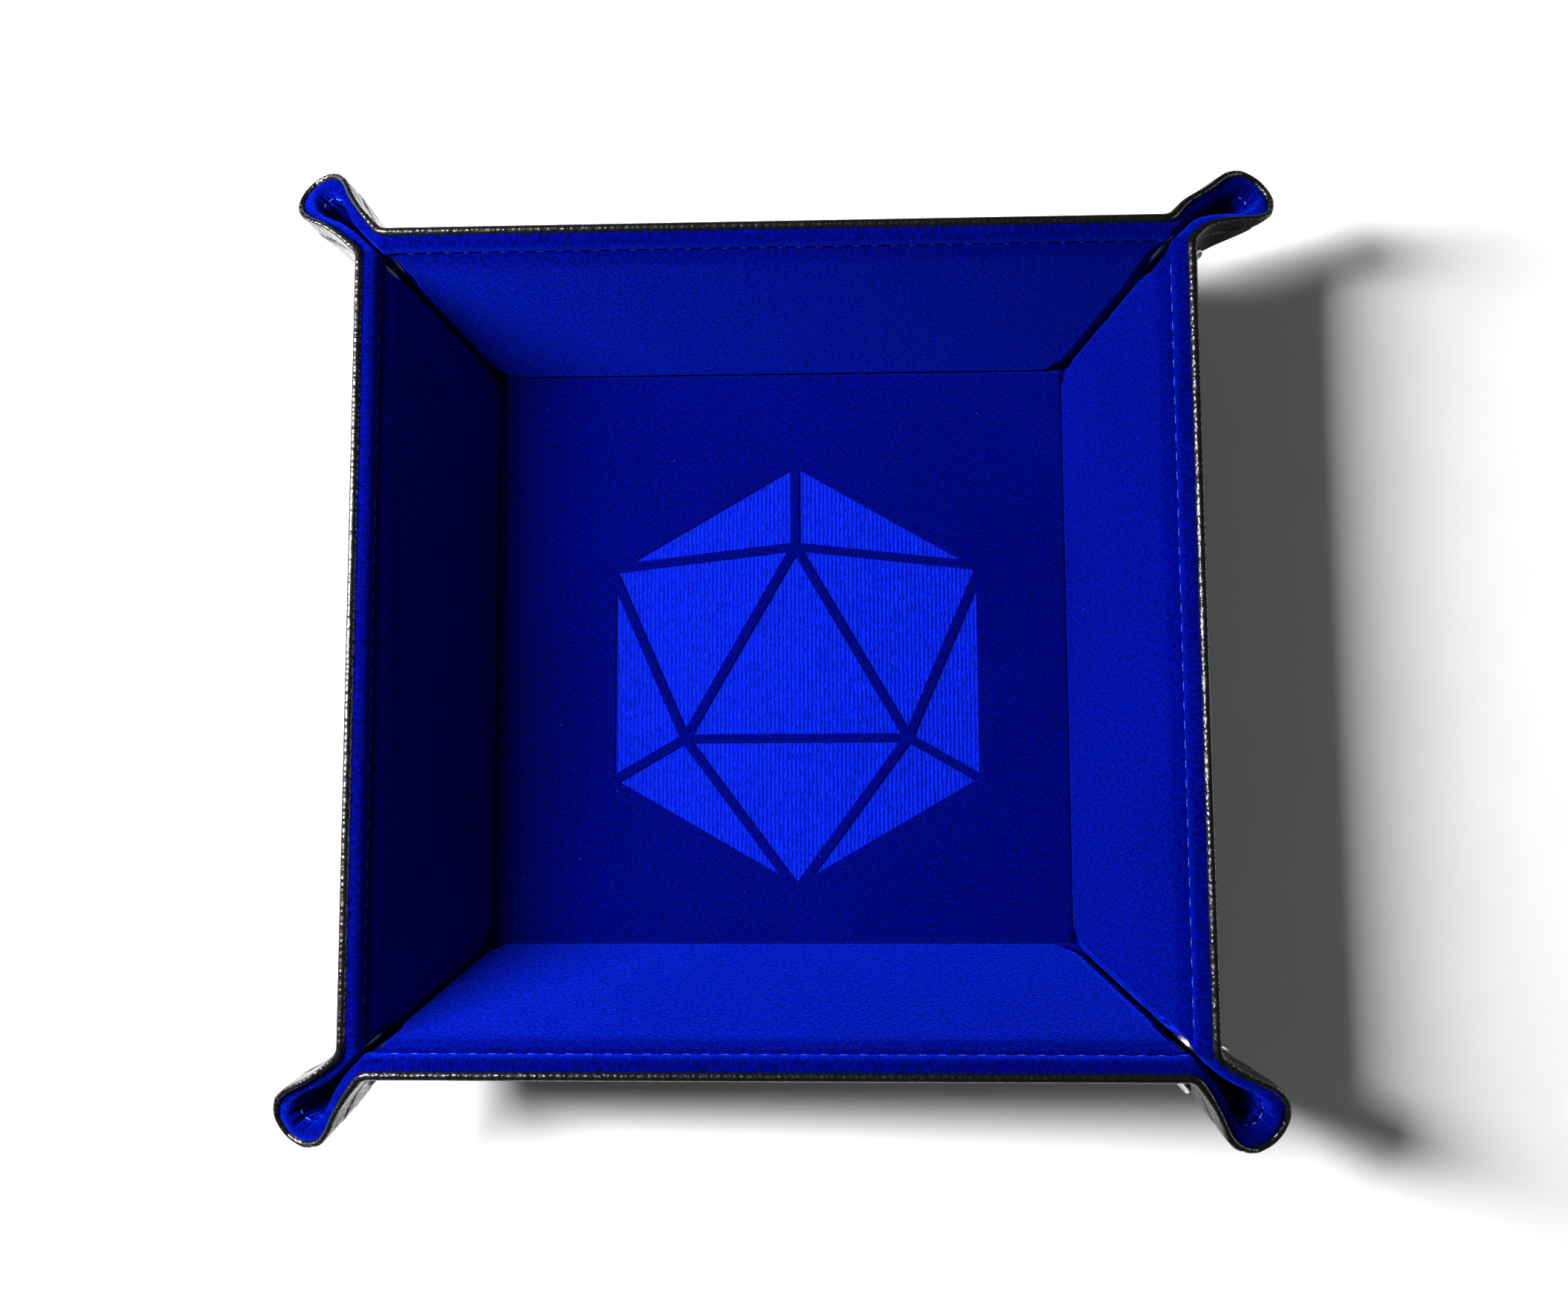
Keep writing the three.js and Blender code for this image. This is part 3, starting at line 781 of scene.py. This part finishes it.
def cut_emblem(lining):
    """Sinks the die's faces into the velvet, and gives their floors the burnt finish."""
    points, faces = [], []
    for triangle in die_facets():
        start = len(points)
        for height in (PANEL_HEIGHT - EMBLEM_DEPTH, PANEL_HEIGHT + 2):
            points += [((p.x + EMBLEM_CENTRE[0]) * MM, (p.y + EMBLEM_CENTRE[1]) * MM, height * MM)
                       for p in triangle]
        faces += [(start, start + 1, start + 2), (start + 3, start + 4, start + 5)]
        faces += [(start + k, start + (k + 1) % 3, start + 3 + (k + 1) % 3, start + 3 + k) for k in range(3)]
    cutter = new_object("emblem_cutter", points, faces, burnt_velvet, [(x, y) for x, y, _ in points])
    lining.data.materials.append(burnt_velvet)
    modifier = lining.modifiers.new("emblem", "BOOLEAN")
    modifier.operation, modifier.object, modifier.solver = "DIFFERENCE", cutter, "EXACT"
    modifier.material_mode = "TRANSFER"
    depsgraph = bpy.context.evaluated_depsgraph_get()
    result = bpy.data.meshes.new_from_object(lining.evaluated_get(depsgraph))
    lining.modifiers.clear()
    lining.data = result
    result.set_sharp_from_angle(angle=math.radians(40))
    bpy.data.objects.remove(cutter)


make_floor()


# ---------------------------------------------------------------- creases, walls and ears

class Layer:
    """One of the sheet's two layers: where it starts from the edge, and the heights that its folds
    are measured at, at the floor's crease, at a wing's crease and in an ear's tip."""

    def __init__(self, name, material, start, shoulder, fold_heights):
        self.name, self.material, self.start, self.shoulder = name, material, start, shoulder
        self.floor_height, self.crease_height, self.tip_height = fold_heights

    def heights(self, x, y, turn):
        if self.name == "leather":
            return leather_heights(x, y, turn)
        top = velvet_height(x, y, turn)
        return np.maximum(top - VELVET, 1.15), top

    def place(self, x, y, height, turn):
        return tuple(fold(x, y, height, turn, meet=False, shoulder=self.shoulder))

    def floor_bend(self, turn):
        return [self.place(x, 0.0, self.floor_height, turn) for x in (FLOOR_EDGE, WALL_FOOT)]

    def wing_bend(self, turn, side):
        ends = [CREASE_FOOT + ALONG_CREASE * 30 + ACROSS_CREASE * WING_BEND_LENGTH * k for k in (-0.5, 0.5)]
        return [self.place(x, side * y, self.crease_height, turn) for x, y, _ in ends]

    def tip_bend(self, turn, side, group=-1):
        up_ridge, start = TIP_BENDS[group]
        ridge = ALONG_RIDGE * (FLOOR_CORNER + up_ridge)
        ends = [ridge - TO_RIDGE * away for away in (start, 0.001)]
        return [self.place(x, side * y, self.tip_height, turn) for x, y, _ in ends]


LAYERS = (
    Layer("leather", leather, 0.0, None, (0.0, 0.0, 0.5)),
    Layer("velvet", velvet, VELVET_START, SHOULDER_RADIUS, (CREASE_HEIGHT, 3.2, 3.2)),
)


def finish_piece(piece, bodies, ends=None, node=None):
    """Lets a piece ride on one body; a piece that spans two bodies has its placement baked into its mesh instead.
    """
    if ends:
        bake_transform(piece)
    else:
        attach(piece, bodies[0])
    if node:
        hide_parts(node)


def every_cell(x):
    return np.ones((x.shape[0] - 1, x.shape[1] - 1), bool)


def make_crease_strip(layer, turn):
    """The strip with no board between the floor and a wall, out to the corners."""
    wall = WALLS[turn]
    edge_levels = np.linspace(FOOT_LEVEL, FLOOR_LEVEL, 9)
    middle = middle_rows(edge_levels)
    left, right = end_rows(edge_levels, -1), end_rows(edge_levels, 1)
    x, y = (np.hstack([left[k][:, ::-1], middle[k][:, 1:-1], right[k]]) for k in (0, 1))
    low, high = layer.heights(x, y, turn)
    piece = sheet_solid(f"{wall}_crease_{layer.name}", x, y, low, high, turn, every_cell(x),
                        layer.material, layer.shoulder)
    node = f"{wall}_hinge_leather" if layer.name == "leather" else None
    finish_piece(piece, ("base", f"{wall}_wall"), layer.floor_bend(turn), node)
    return [piece]


def make_wall(layer, turn):
    """The middle of a wall, over its board."""
    wall = WALLS[turn]
    x, y = middle_rows(levels(layer.start))
    low, high = layer.heights(x, y, turn)
    piece = sheet_solid(f"{wall}_wall_{layer.name}_middle", x, y, low, high, turn, every_cell(x),
                        layer.material, layer.shoulder)
    node = f"{wall}_wall_leather" if layer.name == "leather" else f"{wall}_wall_lining"
    finish_piece(piece, (f"{wall}_wall",), node=node)
    return [piece]


def snap_name(turn, side):
    """The corner of one end of a wall, and the half of the snap that its wing has."""
    return (CORNERS[turn], "stud") if side > 0 else (CORNERS[(turn + 3) % 4], "socket")


def make_wall_end(layer, turn, side):
    """The end of a wall with its wing, and the wing's tip, which bends again. The tip is made in
    lengths, because lower down there is less room for its bend."""
    wall = WALLS[turn]
    name = "_".join(snap_name(turn, side))
    edge_levels = levels(layer.start)
    x, y = end_rows(edge_levels, side)
    low, high = layer.heights(x, y, turn)
    tip = every_cell(x)
    tip[:, :FIRST_TIP_COLUMN] = False
    piece = sheet_solid(f"{name}_ear_{layer.name}", x, y, low, high, turn, ~tip, layer.material, layer.shoulder)
    node = f"{name}_wing_leather" if layer.name == "leather" else f"{name}_wing_lining"
    finish_piece(piece, (f"{wall}_wall", f"{name}_wing"), layer.wing_bend(turn, side), node)
    pieces = [piece]

    groups = np.array([tip_group(edge) for edge in edge_levels[1:]])
    node = f"{name}_curl" if layer.name == "leather" else None
    for group in np.unique(groups):
        cells = tip & (groups == group)[:, None]
        piece = sheet_solid(f"{name}_tip_{layer.name}_{group}", x, y, low, high, turn, cells,
                            layer.material, layer.shoulder)
        finish_piece(piece, (f"{name}_wing", f"{name}_curl"), layer.tip_bend(turn, side, group),
                     node if group == len(TIP_BENDS) - 1 else None)
        pieces.append(piece)
    return pieces


for turn in range(4):
    for layer in LAYERS:
        pieces = make_wall(layer, turn) + make_crease_strip(layer, turn)
        for side in (1, -1):
            pieces += make_wall_end(layer, turn, side)


# ---------------------------------------------------------------- stitches

HALF_ROW = (RIM - CORNER_RADIUS) + (CORNER_RADIUS - STITCH_INSET) * math.pi / 4
STITCH_PITCH = HALF_ROW / STITCH_COUNT
THREAD_RADIUS = 0.19


def row_place(distance):
    """The stitch row's flat place and outward direction, from the middle of a wall to the ridge."""
    corner, radius = RIM - CORNER_RADIUS, CORNER_RADIUS - STITCH_INSET
    if distance <= corner:
        return np.array([RIM - STITCH_INSET, distance]), np.array([1.0, 0.0])
    a = (distance - corner) / radius
    out = np.array([math.cos(a), math.sin(a)])
    return np.array([corner, corner]) + radius * out, out


def stitch(middle, side, turn, layer):
    """One stitch: a short tube that dives into the cloth at both ends."""
    on_velvet = layer.name == "velvet"
    rise = 0.11 if on_velvet else -0.06
    rings, sides = 7, 8
    xs, ys, hs, faces = [], [], [], []
    for ring in range(rings):
        share = ring / (rings - 1) * 2 - 1
        place, out = row_place(middle + share * STITCH_LENGTH / 2)
        radius = THREAD_RADIUS * (0.45 + 0.55 * math.sqrt(max(0.0, 1 - share ** 4)))
        lift = rise * (1 - 1.6 * share ** 4)
        for k in range(sides):
            a = 2 * math.pi * k / sides
            flat = place + out * radius * math.cos(a)
            xs.append(flat[0])
            ys.append(side * flat[1])
            hs.append(lift + radius * math.sin(a))
    for ring in range(rings - 1):
        for k in range(sides):
            a, b = ring * sides + k, ring * sides + (k + 1) % sides
            faces.append((a, b, b + sides, a + sides))
    faces.append(tuple(range(sides)))
    faces.append(tuple(range((rings - 1) * sides, rings * sides)))
    xs, ys, hs = np.array(xs), np.array(ys), np.array(hs)
    place, _ = row_place(middle)
    base = layer.heights(place[0], side * place[1], turn)[1 if on_velvet else 0]
    return fold(xs, ys, hs + base, turn, shoulder=layer.shoulder), faces, turned_uv(xs, ys, turn)


def stitch_zone(middle):
    place, _ = row_place(middle)
    _, past = crease_place(*place)
    if ridge_distance(*place) < TIP_WIDTH:
        return "tip"
    return "ear" if past > -6 else "wall"


def join_stitches(name, stitches, material):
    points, faces, uv = [], [], []
    for p, f, t in stitches:
        faces += [tuple(v + len(points) for v in face) for face in f]
        points += list(p)
        uv += list(t)
    return new_object(name, points, faces, material, uv)


def make_stitches(layer, turn):
    """A wall's row of stitches, in the pieces that its cloth is in."""
    material = blue_thread if layer.name == "velvet" else black_thread
    wall = WALLS[turn]
    on_wall = []
    for side in (1, -1):
        zones = {"wall": on_wall, "ear": [], "tip": []}
        for k in range(STITCH_COUNT):
            middle = (k + 0.5) * STITCH_PITCH
            zones[stitch_zone(middle)].append(stitch(middle, side, turn, layer))
        name = "_".join(snap_name(turn, side))
        piece = join_stitches(f"{name}_ear_{layer.name}_stitches", zones["ear"], material)
        finish_piece(piece, (f"{wall}_wall", f"{name}_wing"), layer.wing_bend(turn, side))
        piece = join_stitches(f"{name}_tip_{layer.name}_stitches", zones["tip"], material)
        finish_piece(piece, (f"{name}_wing", f"{name}_curl"), layer.tip_bend(turn, side))
    piece = join_stitches(f"{wall}_wall_{layer.name}_stitches", on_wall, material)
    finish_piece(piece, (f"{wall}_wall",))


for turn in range(4):
    for layer in LAYERS:
        make_stitches(layer, turn)


# ---------------------------------------------------------------- snaps

CAP = [(0, -1.75), (1.6, -1.72), (3.2, -1.6), (4.4, -1.38), (4.8, -1.22), (5.1, -1.24), (5.55, -1.12),
       (5.9, -0.85), (6.0, -0.55), (5.9, -0.3), (5.6, -0.2), (1.5, -0.2), (1.5, 2.7), (0, 2.7)]
STUD = [(0, 5.1), (1.1, 5.0), (1.5, 4.5), (1.8, 3.5), (1.8, 2.7), (5.3, 2.7), (5.6, 2.9), (5.6, 3.7), (5.3, 3.95),
        (4.6, 4.0), (3.6, 3.8), (2.7, 3.9), (2.3, 4.1), (2.1, 4.5), (2.0, 4.9), (1.9, 5.3), (1.5, 5.6), (0, 5.6)]
SOCKET = [(1.8, 2.7), (5.2, 2.7), (5.5, 2.85), (5.6, 3.7), (5.4, 4.15), (4.9, 4.3), (4.2, 4.3), (3.7, 4.1),
          (3.2, 4.05), (2.9, 4.1), (2.6, 4.1), (2.4, 3.9), (2.4, 3.2), (2.2, 3.0), (1.8, 3.0), (1.8, 2.7)]


def make_snap_piece(name, profile, turn, side, body):
    """A turned metal part of a snap, in place on its wing."""
    place = CREASE_FOOT + ALONG_CREASE * SNAP_ALONG_CREASE + ACROSS_CREASE * SNAP_FROM_CREASE
    points, faces = revolve(profile)
    folded = fold(points[:, 0] + place[0], side * (points[:, 1] + place[1]), points[:, 2], turn, meet=False)
    piece = new_object(f"{name}_piece", folded, faces, metal)
    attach(piece, body)
    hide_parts(name)


for turn in range(4):
    for side in (1, -1):
        corner, kind = snap_name(turn, side)
        body = f"{corner}_{kind}_wing"
        make_snap_piece(f"{corner}_{kind}_cap", CAP, turn, side, body)
        make_snap_piece(f"{corner}_{kind}", STUD if kind == "stud" else SOCKET, turn, side, body)


# ---------------------------------------------------------------- boards, kept from the CAD

for name in ("base_board", *(f"{wall}_wall_board" for wall in WALLS)):
    node = bpy.data.objects[name]
    node.data.materials.clear()
    node.data.materials.append(board)
